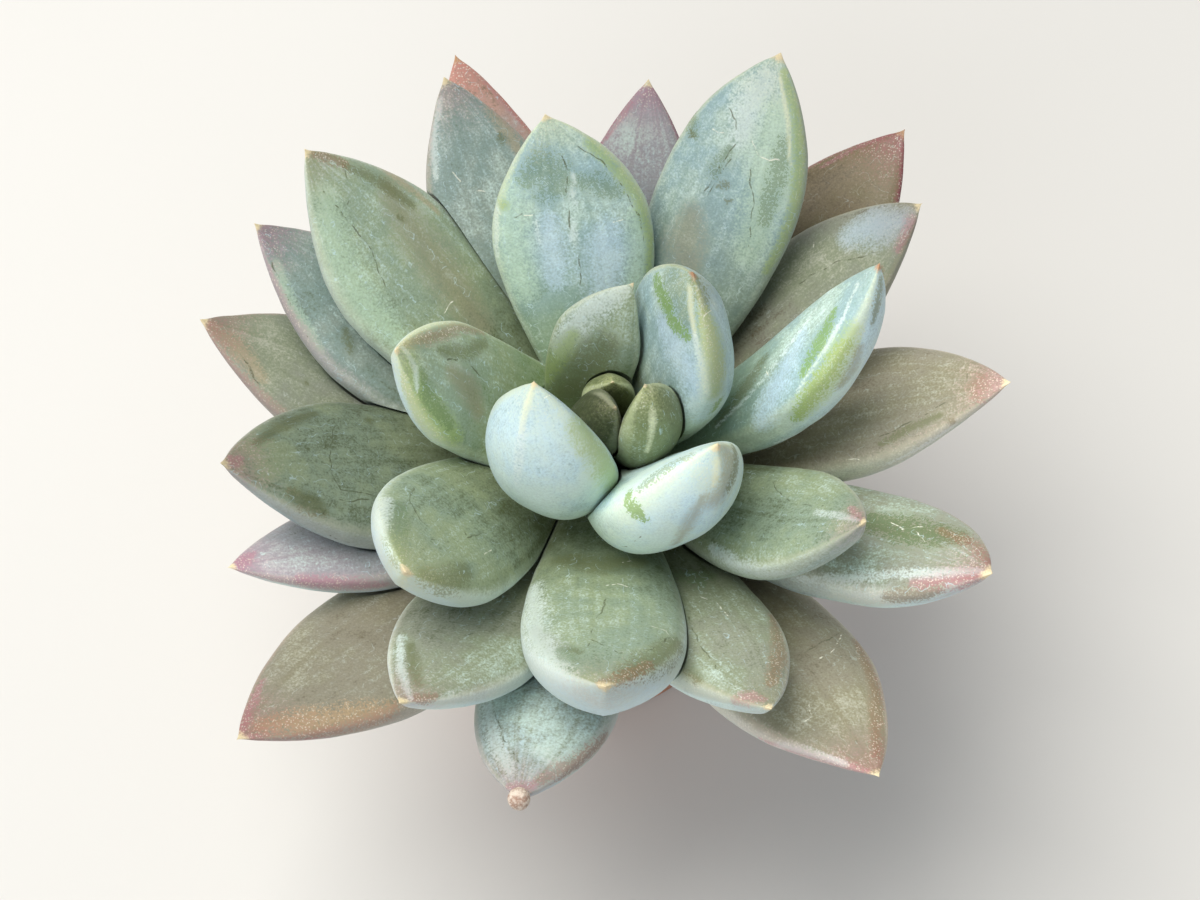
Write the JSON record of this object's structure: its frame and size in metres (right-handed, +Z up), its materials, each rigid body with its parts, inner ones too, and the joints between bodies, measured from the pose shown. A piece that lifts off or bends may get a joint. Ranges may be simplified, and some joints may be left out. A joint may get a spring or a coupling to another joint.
{
  "type": "potted succulent",
  "caption": "Rosette of thick, pointed, waxy leaves on a short stem, in soil in a plain tapered clay pot with a rim band.",
  "frame": {"origin": "middle of the pot's flat base, on the surface that it stands on", "axes": "+Z up along the pot's axis; -Y is the side that faces the viewer, at the picture's lower edge"},
  "size_m": [0.1002, 0.0998, 0.09],
  "materials": {
    "leaf": "satin",
    "stem": "matte",
    "soil": "matte",
    "clay": "matte"
  },
  "bodies": {
    "root": {"pot": "clay", "soil": "soil", "stem": "stem", "leaf_01": "leaf", "leaf_02": "leaf", "leaf_03": "leaf", "leaf_04": "leaf", "leaf_05": "leaf", "leaf_06": "leaf", "leaf_07": "leaf", "leaf_08": "leaf", "leaf_09": "leaf", "leaf_10": "leaf", "leaf_11": "leaf", "leaf_12": "leaf", "leaf_13": "leaf", "leaf_14": "leaf", "leaf_15": "leaf", "leaf_16": "leaf", "leaf_17": "leaf", "leaf_18": "leaf", "leaf_19": "leaf", "leaf_20": "leaf", "leaf_21": "leaf", "leaf_22": "leaf", "leaf_23": "leaf", "leaf_24": "leaf", "leaf_25": "leaf", "leaf_26": "leaf", "leaf_27": "leaf", "leaf_28": "leaf", "leaf_29": "leaf", "leaf_30": "leaf", "leaf_31": "leaf"}
  },
  "joints": []
}
